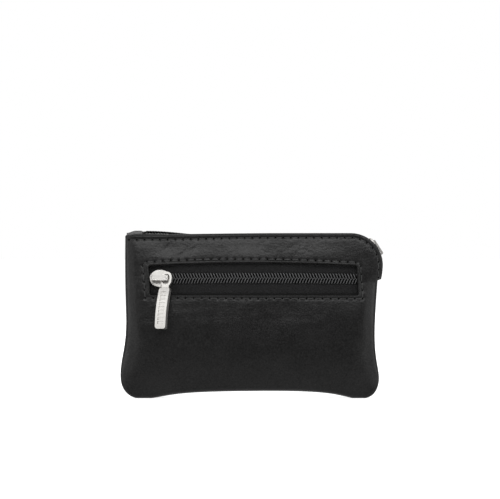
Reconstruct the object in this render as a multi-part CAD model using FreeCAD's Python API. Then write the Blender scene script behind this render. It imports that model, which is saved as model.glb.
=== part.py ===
import FreeCAD, Part
import math
import os

# Coin purse: two leather panels sewn together at the sides and bottom, closed along the top and
# round the upper right corner by a coil zip, with a second coil zip in a window in the front.
# Frame: +X to the right seen from the front, -Y towards the front, +Z up.
# The model is drawn about its seam plane (Y = 0) and moved by SEAM_Y as it is written out.

Vector = FreeCAD.Vector

# ------------------------------------------------------------------ driving dimensions (mm)
SEAM_Y = 2.19                # puts the middle of the whole object's depth on Y = 0

LEATHER = 1.2                # thickness of the leather
EDGE_GAP = 1.2               # half-gap between the panels along the sewn edges
BELLY_GAP = 9.6              # half-gap between the panels at the fullest place
BELLY_Z = 36.0               # height of the fullest place
MOUTH_FALL = 0.56            # share of the fullness lost between the belly and the mouth
LEAST_GAP = 0.2              # the panels never come nearer than this

TOP_Z = 79.2                 # top edge of the front panel
BACK_DROP = 1.2              # how much lower the back panel's top and corner edges are
CORNER_X = 47.3              # centre of the rounded upper right corner
CORNER_Z = 63.84
CORNER_R = 15.36             # corner radius of the front panel
STEP_Z = 57.1                # the zip ends and the sewn right side begins here
EAR_SINK = 0.25              # how far the two lower corners are flattened by standing
RIM = 2.5                    # width of the turned-in seam allowance
SEAM_CLEARANCE = 0.02        # between the two seam allowances
SHOULDER_X = -60.6           # upper left corner of the panels
SHOULDER_R = 1.5
STEP_FALL = 0.46             # how far the zip edge pulls in between the corner and the step

WINDOW_R = 1.0               # corner radius of the front zip's window
WINDOW_LOW, WINDOW_HIGH, WINDOW_CROWN = 50.0, 63.4, 64.8     # sill, top corners, top of the bow
HEM = 5.0                    # width of the leather turned in round the window
LINING = 0.3                 # thickness of the lining cloth
LINING_INSET = 4.5           # from the outline to the edge of the linings
POCKET_SHARE = 0.38          # where the middle linings hang, as a share of the front gap

TAPE = 0.5                   # zip tape thickness
COIL_IN = 0.35               # inner edge of one coil row, from the chain's middle
COIL_OUT = 2.65              # outer edge of one coil row
COIL_H = 1.3                 # height of a coil row above the tape

FRONT_TILT = 7.5             # the front zip leans back by this many degrees
FRONT_ZIP_Y = -5.9           # outer face of the front zip tape at the chain
FRONT_ZIP_Z = 57.3           # height of the front chain
FRONT_TAPE_HALF = 12.0       # tape reach above and below the chain
FRONT_TAPE_END = 55.0        # tape reach to either side
FRONT_COIL = (-49.9, 52.0)   # left and right ends of the front chain
FRONT_SLIDER_X = -43.5       # slider centre, zip closed

MAIN_TAPE_R = 12.06          # radius of the main zip tape round the corner
MAIN_RISE_X = -8.0           # left of here the main zip rises gently
MAIN_RISE_R = 360.0          # radius of that rise
MAIN_LEFT_X = -55.0          # left end of the main zip tape
MAIN_END_Z = 58.5            # lower end of the main zip tape
MAIN_COIL_X, MAIN_COIL_Z = -50.4, 60.2   # where the main chain ends at the left and at the bottom
MAIN_SLIDER_DEG = 33.0       # slider position round the corner, above +X
SKIRT = 6.0                  # depth of tape sewn down inside each panel
STOP_IN, STOP_OUT = 0.3, 2.75            # a stop's reach across its coil row
STOP_L, STOP_H = 1.5, 1.35               # length and height of a stop

SLIDER_HALF_L = 5.1          # half-length of a slider's top wing
SLIDER_HALF_W = 4.2          # half-width of a slider's top wing
WING_LOW = 1.45              # underside of the top wing above the tape
WING_HIGH = 2.25             # upper side of the top wing
BAIL_HALF_L = 4.0            # half-length of the bail
BAIL_HALF_W = 1.3            # half-width of the bail
BAIL_LEG = 0.9               # thickness of the bail's legs
LEG_U = BAIL_HALF_L - BAIL_LEG / 2.0
FRONT_BAIL = (4.5, 5.4)      # underside and top of the front slider's bail
MAIN_BAIL = (3.65, 4.5)      # the same for the main slider

EYE_L, EYE_W, EYE_T = 7.3, 5.7, 1.0      # eye of a pull: length, width, thickness
HOLE_L, HOLE_W = 5.1, 3.6                # hole in the eye
TAB_START, TAB_END = 4.8, 24.8           # tab of a pull, measured from its pivot
TAB_W, TAB_T = 5.6, 2.0
TAB_ARCH = 1.0                           # how far the tab is bowed outwards
EYE_S, EYE_B = 0.7, -0.35                # eye centre from the pivot, along and across
GRIP_COUNT = 9                           # shallow pockets along the tab
GRIP_PITCH = 1.8
GRIP_DEPTH = 0.25

FRONT_PULL_W = 4.25          # height of the front pull's pivot above the tape
FRONT_PULL_SIDE = 3.2        # tip leans to the left
FRONT_PULL_TWIST = 26.0      # right edge turned outwards
FRONT_PULL_OUT = 6.0         # tip leans outwards

LINK_W = 3.0                 # height of the main pull's link above the tape
LINK_WIRE = 0.55             # wire radius
LINK_HALF = 1.6              # half-width of the link's centreline
LINK_NEAR, LINK_FAR = -2.4, 12.6         # ends of the link's centreline along Y
MAIN_PULL_Y = 10.8           # the main pull hangs in this plane
MAIN_PULL_SIDE = 3.0         # its tip leans to the left

THREAD_R = 0.28              # sewing thread as it lies on the leather
THREAD_L = 2.7               # length of one visible stitch
ROW_INSET = 2.2              # top stitching, from the leather's edge
TOP_PITCH = 3.72
WINDOW_PITCH = 3.84
SEAM_PITCH = 3.5
SEAM_INSET = 1.6

REACH = 40.0                 # half-length of cutting prisms, larger than the object is deep


# ------------------------------------------------------------------ the purse's inner surface
def smooth_step(t):
    t = min(max(t, 0.0), 1.0)
    return t * t * (3.0 - 2.0 * t)


def side_reach(x, z):
    """Where the panels meet at this height: a little wider at the left ear and the zip corner."""
    if x < 0.0:
        return 61.6 + 1.3 * math.exp(-((z - 11.0) / 9.0) ** 2)
    return 60.8 + 6.5 * smooth_step((z - 55.0) / 8.0)


def half_gap(x, z):
    """Half the distance between the two panels' inner faces."""
    squareness = 6.0 + 12.0 * smooth_step(z / 50.0)
    across = 1.0 - (abs(x) / side_reach(x, z)) ** squareness
    if z < BELLY_Z:
        lift = 0.0
        if abs(x) < 53.0:
            lift = 3.6 * math.cos(math.pi * x / 106.0) ** 2
        upright = 1.0 - ((BELLY_Z - z) / (BELLY_Z - lift)) ** 3.2
    else:
        upright = 1.0 - MOUTH_FALL * ((z - BELLY_Z) / (TOP_Z - BELLY_Z)) ** 1.25
    fullness = min(across, upright, across * upright)
    return max(EDGE_GAP + (BELLY_GAP - EDGE_GAP) * fullness, LEAST_GAP)


def gap_face(scale):
    """Face whose Y is scale times the half-gap, over the whole purse."""
    count_x, count_z = 21, 17
    half_width, low, high = 64.5, -1.5, 81.0
    rows = []
    for i in range(count_x):
        x = half_width * math.sin(math.pi / 2.0 * (2.0 * i / (count_x - 1) - 1.0))
        row = []
        for j in range(count_z):
            z = low + (high - low) * j / (count_z - 1)
            row.append(Vector(x, scale * half_gap(x, z), z))
        rows.append(row)
    surface = Part.BSplineSurface()
    surface.interpolate(rows)
    return surface.toShape()


BACK_FACE = gap_face(1.0)
FRONT_FACE = gap_face(-1.0)
POCKET_FACE = gap_face(-POCKET_SHARE)


def layer(face, near, far):
    """Solid between two copies of a face moved along Y."""
    moved = face.copy()
    moved.translate(Vector(0, near, 0))
    return moved.extrude(Vector(0, far - near, 0))


# ------------------------------------------------------------------ outlines in the XZ plane
def flat(x, z):
    return Vector(x, 0, z)


def spline(points):
    curve = Part.BSplineCurve()
    curve.interpolate([flat(x, z) for x, z in points])
    return curve.toShape()


def line(a, b):
    return Part.makeLine(flat(*a), flat(*b))


def arc(a, b, c):
    return Part.Arc(flat(*a), flat(*b), flat(*c)).toShape()


def prism(wire, y0, y1):
    face = Part.Face(wire)
    face.translate(Vector(0, y0, 0))
    return face.extrude(Vector(0, y1 - y0, 0))


def box(x0, x1, y0, y1, z0, z1):
    return Part.makeBox(x1 - x0, y1 - y0, z1 - z0, Vector(x0, y0, z0))


def sewn_points(top):
    """Points down the left side, along the bottom and up the right side to the zip's end."""
    low = -EAR_SINK
    return [(SHOULDER_X, top), (-60.5, 50), (-60.9, 26), (-62.9, 11.5 + low), (-61.6, 5 + low),
            (-57.5, 1 + low), (-52.5, low), (-40, 1.6 + low), (-22, 3.2 + low), (4, 3.7 + low),
            (28, 3.3 + low), (43, 1.5 + low), (53, low), (57.8, 1.6 + low), (61, 7.5 + low),
            (60.2, 17), (59.3, 38), (60.5, 56.5)]


def moved_in(points, inset):
    """The points moved inwards, square to the line through each one's neighbours."""
    moved = []
    for i, (x, z) in enumerate(points):
        x0, z0 = points[max(i - 1, 0)]
        x1, z1 = points[min(i + 1, len(points) - 1)]
        length = math.hypot(x1 - x0, z1 - z0)
        moved.append((x - inset * (z1 - z0) / length, z + inset * (x1 - x0) / length))
    return moved


def zip_edge(radius, right, left):
    """From the sewn right side up over the step, round the zip corner and along the top."""
    side = CORNER_X + radius
    top = CORNER_Z + radius
    diagonal = radius / math.sqrt(2.0)
    foot = (side - STEP_FALL, max(STEP_Z, right[1] + 0.6))
    return [line(right, foot), line(foot, (side, CORNER_Z)),
            arc((side, CORNER_Z), (CORNER_X + diagonal, CORNER_Z + diagonal), (CORNER_X, top)),
            line((CORNER_X, top), left)]


def outline_wire(drop):
    """Outline of a panel; drop lowers its top edge and tightens its zip corner."""
    top = TOP_Z - drop
    cut = SHOULDER_R * (1.0 - math.sqrt(0.5))
    points = sewn_points(top - SHOULDER_R)
    shoulder = arc((SHOULDER_X + SHOULDER_R, top), (SHOULDER_X + cut, top - cut),
                   (SHOULDER_X, top - SHOULDER_R))
    zipped = zip_edge(CORNER_R - drop, points[-1], (SHOULDER_X + SHOULDER_R, top))
    return Part.Wire([spline(points)] + zipped + [shoulder])


def inner_wire(drop, inset):
    """A panel's outline drawn in by inset, with a plain corner at its upper left."""
    top = TOP_Z - drop - inset
    points = moved_in(sewn_points(top), inset)
    zipped = zip_edge(CORNER_R - drop - inset, points[-1], points[0])
    return Part.Wire([spline(points)] + zipped)


def outline_prism(drop, inset, y0, y1):
    """A panel's outline, drawn in by inset and trimmed where it stands, as a prism."""
    wire = inner_wire(drop, inset) if inset > 0.0 else outline_wire(drop)
    return prism(wire, y0, y1).common(box(-80, 80, -REACH, REACH, 0, 90))


def rim_zone(drop, y0, y1):
    """The seam allowance: all round except along the zip."""
    ring = outline_prism(drop, 0.0, y0, y1).cut(outline_prism(drop, RIM, y0, y1))
    return ring.cut(box(SHOULDER_X + RIM, 80, -REACH, REACH, STEP_Z - 0.8, 90))


def window_prism(grow, y0, y1):
    """The front zip's window, a slightly bowed rectangle with small round corners."""
    low, high, crown = WINDOW_LOW - grow, WINDOW_HIGH + grow, WINDOW_CROWN + grow
    wire = Part.Wire([line((-48.6 - grow, low), (51.2 + grow, low)),
                      line((51.2 + grow, low), (50.6 + grow, high)),
                      arc((50.6 + grow, high), (1, crown), (-49.4 - grow, high)),
                      line((-49.4 - grow, high), (-48.6 - grow, low))])
    solid = prism(wire, y0, y1)
    corners = [e for e in solid.Edges if abs(e.Length - abs(y1 - y0)) < 1e-3]
    return solid.makeFillet(WINDOW_R + grow, corners)


# ------------------------------------------------------------------ leather panels
def back_panel():
    leather = layer(BACK_FACE, 0.0, LEATHER).common(outline_prism(BACK_DROP, 0.0, 0, REACH))
    rim = layer(BACK_FACE, -20.0, 0.3).common(rim_zone(BACK_DROP, SEAM_CLEARANCE, REACH))
    return leather.fuse(rim).removeSplitter()


def front_panel():
    leather = layer(FRONT_FACE, -LEATHER, 0.0).common(outline_prism(0.0, 0.0, -REACH, 0))
    rim = layer(FRONT_FACE, -0.3, 20.0).common(rim_zone(0.0, -REACH, -SEAM_CLEARANCE))
    hem = layer(FRONT_FACE, -0.3, 1.2).common(window_prism(HEM, -REACH, 0))
    tape_half = FRONT_TAPE_HALF + 0.6
    tape_end = FRONT_TAPE_END + 1.0
    tape_room = zip_box(-tape_end, tape_end, -tape_half, tape_half, -1.2, 0.08)
    chain_room = zip_box(-53.5, 54, -3.4, 3.4, -0.5, COIL_H + 0.25)
    hem = hem.cut(tape_room).cut(chain_room).cut(skirt_room())
    panel = leather.fuse(rim).fuse(hem)
    return panel.cut(window_prism(0.0, -REACH, 0)).removeSplitter()


def skirt_room():
    """Space that the linings and the hem leave for the skirts of the main zip's tapes."""
    return band(-SKIRT - 0.3, 6, MAIN_LEFT_X - 1.0, STEP_Z, -REACH, REACH)


# ------------------------------------------------------------------ linings
def lining(face, near, drop, top):
    room = outline_prism(drop, LINING_INSET, -REACH, REACH)
    room = room.common(box(-70, 70, -REACH, REACH, 0, top))
    return layer(face, near, near + LINING).common(room)


def main_lining_back():
    return lining(BACK_FACE, -0.35, BACK_DROP, 69.4).cut(skirt_room())


def main_lining_front():
    return lining(POCKET_FACE, 0.35, BACK_DROP, 69.4)


def pocket_lining_back():
    return lining(POCKET_FACE, 0.0, BACK_DROP, 66.0)


def pocket_lining_front():
    return lining(FRONT_FACE, 0.05, 0.0, 44.5)


# ------------------------------------------------------------------ front zip
def axes_placement(origin, along, across, normal):
    matrix = FreeCAD.Matrix(along.x, across.x, normal.x, origin.x,
                            along.y, across.y, normal.y, origin.y,
                            along.z, across.z, normal.z, origin.z,
                            0, 0, 0, 1)
    return FreeCAD.Placement(matrix)


TILT = math.radians(FRONT_TILT)
FRONT_U = Vector(1, 0, 0)
FRONT_V = Vector(0, math.sin(TILT), math.cos(TILT))
FRONT_W = Vector(0, -math.cos(TILT), math.sin(TILT))
FRONT_ZIP = axes_placement(Vector(0, FRONT_ZIP_Y, FRONT_ZIP_Z), FRONT_U, FRONT_V, FRONT_W)


def placed(shape, placement):
    moved = shape.copy()
    moved.Placement = placement.multiply(moved.Placement)
    return moved


def zip_box(u0, u1, v0, v1, w0, w1):
    """Box in the front zip's own frame: u along it, v up, w outwards from the tape."""
    return placed(box(u0, u1, v0, v1, w0, w1), FRONT_ZIP)


def rounded_bar(u0, u1, v0, v1, w0, w1, radius):
    """Bar along u with its two outer long edges rounded."""
    bar = box(u0, u1, v0, v1, w0, w1)
    long_edges = []
    for edge in bar.Edges:
        middle = edge.CenterOfMass
        if abs(edge.Length - (u1 - u0)) < 1e-6 and abs(middle.z - w1) < 1e-6:
            long_edges.append(edge)
    return bar.makeFillet(radius, long_edges)


def front_tape(side):
    low, high = sorted((side * COIL_IN, side * FRONT_TAPE_HALF))
    return zip_box(-FRONT_TAPE_END, FRONT_TAPE_END, low, high, -TAPE, 0)


def front_coil(side):
    low, high = sorted((side * COIL_IN, side * COIL_OUT))
    return placed(rounded_bar(*FRONT_COIL, low, high, 0, COIL_H, 0.45), FRONT_ZIP)


def front_top_stops():
    stops = []
    right = FRONT_COIL[0] - 0.1
    for side in (-1, 1):
        low, high = sorted((side * STOP_IN, side * STOP_OUT))
        stops.append(placed(rounded_bar(right - STOP_L, right, low, high, 0, STOP_H, 0.3), FRONT_ZIP))
    return Part.makeCompound(stops)


def front_bottom_stop():
    left = FRONT_COIL[1] + 0.1
    return placed(rounded_bar(left, left + 1.4, -COIL_OUT, COIL_OUT, 0, 0.95, 0.3), FRONT_ZIP)


# ------------------------------------------------------------------ main zip
def rise_point(x, w):
    """Point at height w above the tape on the gently rising left stretch."""
    angle = math.asin((MAIN_RISE_X - x) / MAIN_RISE_R)
    centre_z = CORNER_Z + MAIN_TAPE_R + MAIN_RISE_R
    reach = MAIN_RISE_R - w
    return (MAIN_RISE_X - reach * math.sin(angle), centre_z - reach * math.cos(angle))


def main_path(w, x_left, z_end):
    """Edges at height w above the main zip's tape, from its left end to its lower end."""
    radius = MAIN_TAPE_R + w
    top = CORNER_Z + radius
    diagonal = radius / math.sqrt(2.0)
    middle = (MAIN_RISE_X + x_left) / 2.0
    return [arc(rise_point(x_left, w), rise_point(middle, w), (MAIN_RISE_X, top)),
            line((MAIN_RISE_X, top), (CORNER_X, top)),
            arc((CORNER_X, top), (CORNER_X + diagonal, CORNER_Z + diagonal),
                (CORNER_X + radius, CORNER_Z)),
            line((CORNER_X + radius, CORNER_Z), (CORNER_X + radius, z_end))]


def band(w0, w1, x_left, z_end, y0, y1):
    """Strip that follows the main zip between two heights above its tape."""
    start = line(rise_point(x_left, w0), rise_point(x_left, w1))
    end = line((CORNER_X + MAIN_TAPE_R + w0, z_end), (CORNER_X + MAIN_TAPE_R + w1, z_end))
    edges = main_path(w0, x_left, z_end) + main_path(w1, x_left, z_end) + [start, end]
    wire = Part.Wire(Part.__sortEdges__(edges))
    return prism(wire, y0, y1)


def main_tape(side):
    """Tape of one side: a flat strip beside the chain and a skirt sewn down inside its panel."""
    if side > 0:
        strip = layer(BACK_FACE, -20.0, -0.05)
        strip = strip.common(band(-TAPE, 0, MAIN_LEFT_X, MAIN_END_Z, COIL_IN, REACH))
        skirt = layer(BACK_FACE, -0.45, -0.05)
        skirt = skirt.common(band(-SKIRT, 0, MAIN_LEFT_X, MAIN_END_Z, 0.5, REACH))
    else:
        strip = layer(FRONT_FACE, 0.05, 20.0)
        strip = strip.common(band(-TAPE, 0, MAIN_LEFT_X, MAIN_END_Z, -REACH, -COIL_IN))
        skirt = layer(FRONT_FACE, 0.05, 0.45)
        skirt = skirt.common(band(-SKIRT, 0, MAIN_LEFT_X, MAIN_END_Z, -REACH, -0.5))
    return strip.fuse(skirt).removeSplitter()


def main_coil(side):
    low, high = sorted((side * COIL_IN, side * COIL_OUT))
    return band(0, COIL_H, MAIN_COIL_X, MAIN_COIL_Z, low, high)


def main_top_stops():
    stops = []
    outer = CORNER_X + MAIN_TAPE_R
    top = MAIN_COIL_Z - 0.1
    for side in (-1, 1):
        low, high = sorted((side * STOP_IN, side * STOP_OUT))
        stops.append(box(outer, outer + STOP_H, low, high, top - 1.4, top))
    return Part.makeCompound(stops)


def main_bottom_stop():
    x, z = rise_point(MAIN_COIL_X - STOP_L, 0.0)
    return box(x, x + 1.4, -STOP_OUT, STOP_OUT, z + 0.02, z + 1.4)


def zip_end_tab():
    """Leather tab that covers the main zip's left end."""
    points = [(-59.6, 79.25), (-55.5, 80.4), (-52.2, 80.4), (-52.2, 79.25)]
    edges = [line(points[i], points[(i + 1) % 4]) for i in range(4)]
    return prism(Part.Wire(edges), -4.8, 4.8)


# ------------------------------------------------------------------ sliders
def ellipse_plate(half_l, half_w, w0, w1):
    ellipse = Part.Ellipse(Vector(0, 0, w0), half_l, half_w).toShape()
    return Part.Face(Part.Wire([ellipse])).extrude(Vector(0, 0, w1 - w0))


def slider_body(bottom_wing, post_foot):
    """Slider with its post on the -u side; u along the zip, w outwards from the tape."""
    top = ellipse_plate(SLIDER_HALF_L, SLIDER_HALF_W, WING_LOW, WING_HIGH)
    top = top.makeFillet(0.3, [e for e in top.Edges if abs(e.CenterOfMass.z - WING_HIGH) < 1e-6])
    flanges = ellipse_plate(SLIDER_HALF_L, SLIDER_HALF_W, 0.15, WING_LOW + 0.05)
    flanges = flanges.cut(box(-8, 8, -3.05, 3.05, 0, 3))
    post = box(-4.1, -3.0, -0.25, 0.25, post_foot, WING_LOW + 0.1)
    return top.fuse(flanges).fuse(bottom_wing).fuse(post).removeSplitter()


def flat_wing():
    wing = box(-4.2, 4.2, -3.9, 3.9, -1.5, -0.7)
    corners = [e for e in wing.Edges if abs(e.Length - 0.8) < 1e-6]
    return wing.makeFillet(1.6, corners)


def curved_wing():
    """Bottom wing that follows the corner, so that it stays under the curved tape."""
    outer = Part.makeCylinder(MAIN_TAPE_R - 0.7, 7.8, Vector(0, -3.9, -MAIN_TAPE_R), Vector(0, 1, 0))
    inner = Part.makeCylinder(MAIN_TAPE_R - 1.5, 7.8, Vector(0, -3.9, -MAIN_TAPE_R), Vector(0, 1, 0))
    return outer.cut(inner).common(box(-4.2, 4.2, -3.9, 3.9, -4.0, 0.0))


def bail(low, high):
    """Bridge on the slider that holds the pull, with a channel for the lock spring."""
    solid = box(-BAIL_HALF_L, BAIL_HALF_L, -BAIL_HALF_W, BAIL_HALF_W, WING_HIGH, high)
    ends = []
    for edge in solid.Edges:
        middle = edge.CenterOfMass
        if abs(middle.z - high) < 1e-6 and abs(abs(middle.x) - BAIL_HALF_L) < 1e-6:
            ends.append(edge)
    solid = solid.makeFillet(0.75, ends)
    inner = BAIL_HALF_L - BAIL_LEG
    solid = solid.cut(box(-inner, inner, -3, 3, WING_HIGH - 1, low))
    return solid.cut(box(-inner, inner, -0.7, 0.7, low - 0.1, low + 0.35))


def lock_spring(low):
    return box(-2.9, 2.9, -0.6, 0.6, low + 0.02, low + 0.32)


FRONT_SLIDER = FRONT_ZIP.multiply(FreeCAD.Placement(Vector(FRONT_SLIDER_X, 0, 0), FreeCAD.Rotation()))

PHI = math.radians(MAIN_SLIDER_DEG)
MAIN_U = Vector(math.sin(PHI), 0, -math.cos(PHI))
MAIN_V = Vector(0, 1, 0)
MAIN_W = Vector(math.cos(PHI), 0, math.sin(PHI))
CORNER = Vector(CORNER_X, 0, CORNER_Z)
MAIN_SLIDER_AT = CORNER + MAIN_W * MAIN_TAPE_R
MAIN_SLIDER = axes_placement(MAIN_SLIDER_AT, MAIN_U, MAIN_V, MAIN_W)
TURNED = FreeCAD.Placement(Vector(0, 0, 0), FreeCAD.Rotation(Vector(0, 0, 1), 180))


# ------------------------------------------------------------------ pulls
def stadium(length, width, z0, z1):
    """Plate with round ends, lying along x and centred on the eye."""
    r = width / 2.0
    h = length / 2.0 - r
    a, b = Vector(-h, -r, z0), Vector(h, -r, z0)
    c, d = Vector(h, r, z0), Vector(-h, r, z0)
    wire = Part.Wire([Part.makeLine(a, b), Part.Arc(b, Vector(h + r, 0, z0), c).toShape(),
                      Part.makeLine(c, d), Part.Arc(d, Vector(-h - r, 0, z0), a).toShape()])
    solid = Part.Face(wire).extrude(Vector(0, 0, z1 - z0))
    solid.translate(Vector(EYE_S, EYE_B, 0))
    return solid


def arched_block(s0, s1, b0, b1, n0, n1):
    """Block along the tab whose lower and upper faces follow the tab's bow."""
    middle = (TAB_START + TAB_END) / 2.0
    half = (TAB_END - TAB_START) / 2.0
    radius = (half * half + TAB_ARCH * TAB_ARCH) / (2.0 * TAB_ARCH)

    def bow(s, n):
        reach = radius + n
        return Vector(s, b0, TAB_ARCH - radius + math.sqrt(reach * reach - (s - middle) ** 2))

    centre = (s0 + s1) / 2.0
    lower = Part.Arc(bow(s0, n0), bow(centre, n0), bow(s1, n0)).toShape()
    upper = Part.Arc(bow(s0, n1), bow(centre, n1), bow(s1, n1)).toShape()
    ends = [Part.makeLine(bow(s, n0), bow(s, n1)) for s in (s0, s1)]
    wire = Part.Wire(Part.__sortEdges__([lower, upper] + ends))
    return Part.Face(wire).extrude(Vector(0, b1 - b0, 0))


def tab_blank():
    block = arched_block(TAB_START, TAB_END, EYE_B - TAB_W / 2, EYE_B + TAB_W / 2, -TAB_T / 2, TAB_T / 2)
    outline = box(TAB_START, TAB_END, EYE_B - TAB_W / 2, EYE_B + TAB_W / 2, -5, 5)
    corners = [e for e in outline.Edges if abs(e.Length - 10) < 1e-6]
    return block.common(outline.makeFillet(1.3, corners))


def pull():
    """Eye, neck and bowed tab in one casting; pivot at the origin, tip along +x."""
    eye = stadium(EYE_L, EYE_W, -EYE_T / 2, EYE_T / 2)
    hole = stadium(HOLE_L, HOLE_W, -EYE_T, EYE_T)
    neck = box(3.8, TAB_START + 0.6, EYE_B - 1.8, EYE_B + 1.8, -EYE_T / 2, EYE_T / 2)
    tab = tab_blank()
    middle = (TAB_START + TAB_END) / 2.0
    for i in range(GRIP_COUNT):
        s = middle + (i - (GRIP_COUNT - 1) / 2.0) * GRIP_PITCH
        grip = arched_block(s - 0.62, s + 0.62, EYE_B - 1.45, EYE_B + 1.45,
                            TAB_T / 2 - GRIP_DEPTH, TAB_T / 2 + 1.0)
        tab = tab.cut(grip)
    return eye.cut(hole).fuse(neck.cut(hole)).fuse(tab).removeSplitter()


def turned_axes(along, across, normal, angle_deg, about):
    rotation = FreeCAD.Rotation(about, angle_deg)
    return [rotation.multVec(v) for v in (along, across, normal)]


def front_pull_placement():
    """Hangs from the bail's right leg: leaning left, twisted, and resting clear of the leather."""
    origin = FRONT_ZIP.multVec(Vector(FRONT_SLIDER_X + LEG_U, 0, FRONT_PULL_W))
    axes = [FRONT_V * -1, FRONT_U, FRONT_W]
    axes = turned_axes(*axes, -FRONT_PULL_SIDE, axes[2])
    axes = turned_axes(*axes, FRONT_PULL_TWIST, axes[0])
    axes = turned_axes(*axes, -FRONT_PULL_OUT, axes[1])
    return axes_placement(origin, *axes)


def main_pull_link():
    """Wire link round the bail's upper leg, lying over the back panel's edge."""
    near = LINK_NEAR + LINK_HALF
    far = LINK_FAR - LINK_HALF
    h = LINK_HALF
    a, b = Vector(-h, near, 0), Vector(-h, far, 0)
    c, d = Vector(h, far, 0), Vector(h, near, 0)
    path = Part.Wire([Part.makeLine(a, b), Part.Arc(b, Vector(0, LINK_FAR, 0), c).toShape(),
                      Part.makeLine(c, d), Part.Arc(d, Vector(0, LINK_NEAR, 0), a).toShape()])
    section = Part.Wire([Part.Circle(a, Vector(0, 1, 0), LINK_WIRE).toShape()])
    ring = path.makePipeShell([section], True, True)
    ring.translate(Vector(-LEG_U, 0, LINK_W))
    return placed(ring, MAIN_SLIDER)


def main_pull_placement():
    """Hangs from the link's lower run, flat behind the back panel."""
    origin = MAIN_SLIDER.multVec(Vector(-LEG_U + LINK_HALF, MAIN_PULL_Y, LINK_W))
    lean = math.radians(MAIN_PULL_SIDE)
    along = Vector(-math.sin(lean), 0, -math.cos(lean))
    across = Vector(-math.cos(lean), 0, math.sin(lean))
    return axes_placement(origin, along, across, Vector(0, 1, 0))


def hung(shape):
    """Move a pull so that the wire lies at the top of the eye's hole, in its middle."""
    moved = shape.copy()
    moved.translate(Vector(HOLE_L / 2 - EYE_S - LINK_WIRE - 0.12, -EYE_B, 0))
    return moved


# ------------------------------------------------------------------ stitching
def thread(start, end, radius):
    axis = end - start
    return Part.makeCylinder(radius, axis.Length, start, axis)


def surface_stitches(path, pitch, side):
    """Stitches along a path on a panel's outer face; side is -1 in front and 1 behind."""
    count = int(round(path.Length / pitch))
    points = path.discretize(Number=count + 1)
    stitches = []
    for first, second in zip(points[:-1], points[1:]):
        middle = (first + second) * 0.5
        step = (second - first).normalize() * (THREAD_L / 2.0)
        ends = []
        for p in (middle - step, middle + step):
            ends.append(Vector(p.x, side * (half_gap(p.x, p.z) + LEATHER + 0.05), p.z))
        stitches.append(thread(ends[0], ends[1], THREAD_R))
    return Part.makeCompound(stitches)


def top_stitches(drop, side):
    radius = CORNER_R - drop - ROW_INSET
    top = CORNER_Z + radius
    diagonal = radius / math.sqrt(2.0)
    path = Part.Wire([line((-58.4, top), (CORNER_X, top)),
                      arc((CORNER_X, top), (CORNER_X + diagonal, CORNER_Z + diagonal),
                          (CORNER_X + radius, CORNER_Z)),
                      line((CORNER_X + radius, CORNER_Z), (CORNER_X + radius, 58.0))])
    return surface_stitches(path, TOP_PITCH, side)


def window_stitches():
    path = Part.Wire([line((-51.3, 48.3), (53.5, 48.0)), line((53.5, 48.0), (52.5, 65.0)),
                      arc((52.5, 65.0), (1, 66.7), (-52.6, 65.4)),
                      line((-52.6, 65.4), (-51.3, 48.3))])
    return surface_stitches(path, WINDOW_PITCH, -1)


def seam_stitches():
    """Hidden stitches through both seam allowances, just inside the sewn edges."""
    path = inner_wire(BACK_DROP, SEAM_INSET)
    count = int(round(path.Length / SEAM_PITCH))
    stitches = []
    for p in path.discretize(Number=count + 1)[:-1]:
        sewn = p.z < STEP_Z - 3.0 or p.x < -58.0
        if sewn and 1.0 < p.z < 74.0:
            stitches.append(thread(Vector(p.x, -2.0, p.z), Vector(p.x, 2.0, p.z), 0.25))
    return Part.makeCompound(stitches)


# ------------------------------------------------------------------ assembly
def build_nodes():
    nodes = {}
    nodes["front_panel"] = front_panel()
    nodes["back_panel"] = back_panel()
    nodes["main_lining_front"] = main_lining_front()
    nodes["main_lining_back"] = main_lining_back()
    nodes["pocket_lining_front"] = pocket_lining_front()
    nodes["pocket_lining_back"] = pocket_lining_back()
    nodes["front_zip_tape_upper"] = front_tape(1)
    nodes["front_zip_tape_lower"] = front_tape(-1)
    nodes["front_zip_coil_upper"] = front_coil(1)
    nodes["front_zip_coil_lower"] = front_coil(-1)
    nodes["front_zip_top_stops"] = front_top_stops()
    nodes["front_zip_bottom_stop"] = front_bottom_stop()
    nodes["main_zip_tape_front"] = main_tape(-1)
    nodes["main_zip_tape_back"] = main_tape(1)
    nodes["main_zip_coil_front"] = main_coil(-1)
    nodes["main_zip_coil_back"] = main_coil(1)
    nodes["main_zip_top_stops"] = main_top_stops()
    nodes["main_zip_bottom_stop"] = main_bottom_stop()
    nodes["zip_end_tab"] = zip_end_tab()
    nodes["top_stitches_front"] = top_stitches(0.0, -1)
    nodes["top_stitches_back"] = top_stitches(BACK_DROP, 1)
    nodes["window_stitches"] = window_stitches()
    nodes["seam_stitches"] = seam_stitches()

    nodes["front_slider_body"] = placed(slider_body(flat_wing(), -0.9), FRONT_SLIDER)
    nodes["front_slider_bail"] = placed(bail(*FRONT_BAIL), FRONT_SLIDER)
    nodes["front_slider_lock_spring"] = placed(lock_spring(FRONT_BAIL[0]), FRONT_SLIDER)
    nodes["front_pull"] = placed(pull(), front_pull_placement())

    main_body = placed(slider_body(curved_wing(), -1.9), TURNED)
    nodes["main_slider_body"] = placed(main_body, MAIN_SLIDER)
    nodes["main_slider_bail"] = placed(bail(*MAIN_BAIL), MAIN_SLIDER)
    nodes["main_slider_lock_spring"] = placed(lock_spring(MAIN_BAIL[0]), MAIN_SLIDER)
    nodes["main_pull_link"] = main_pull_link()
    nodes["main_pull"] = placed(hung(pull()), main_pull_placement())
    return nodes


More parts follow.
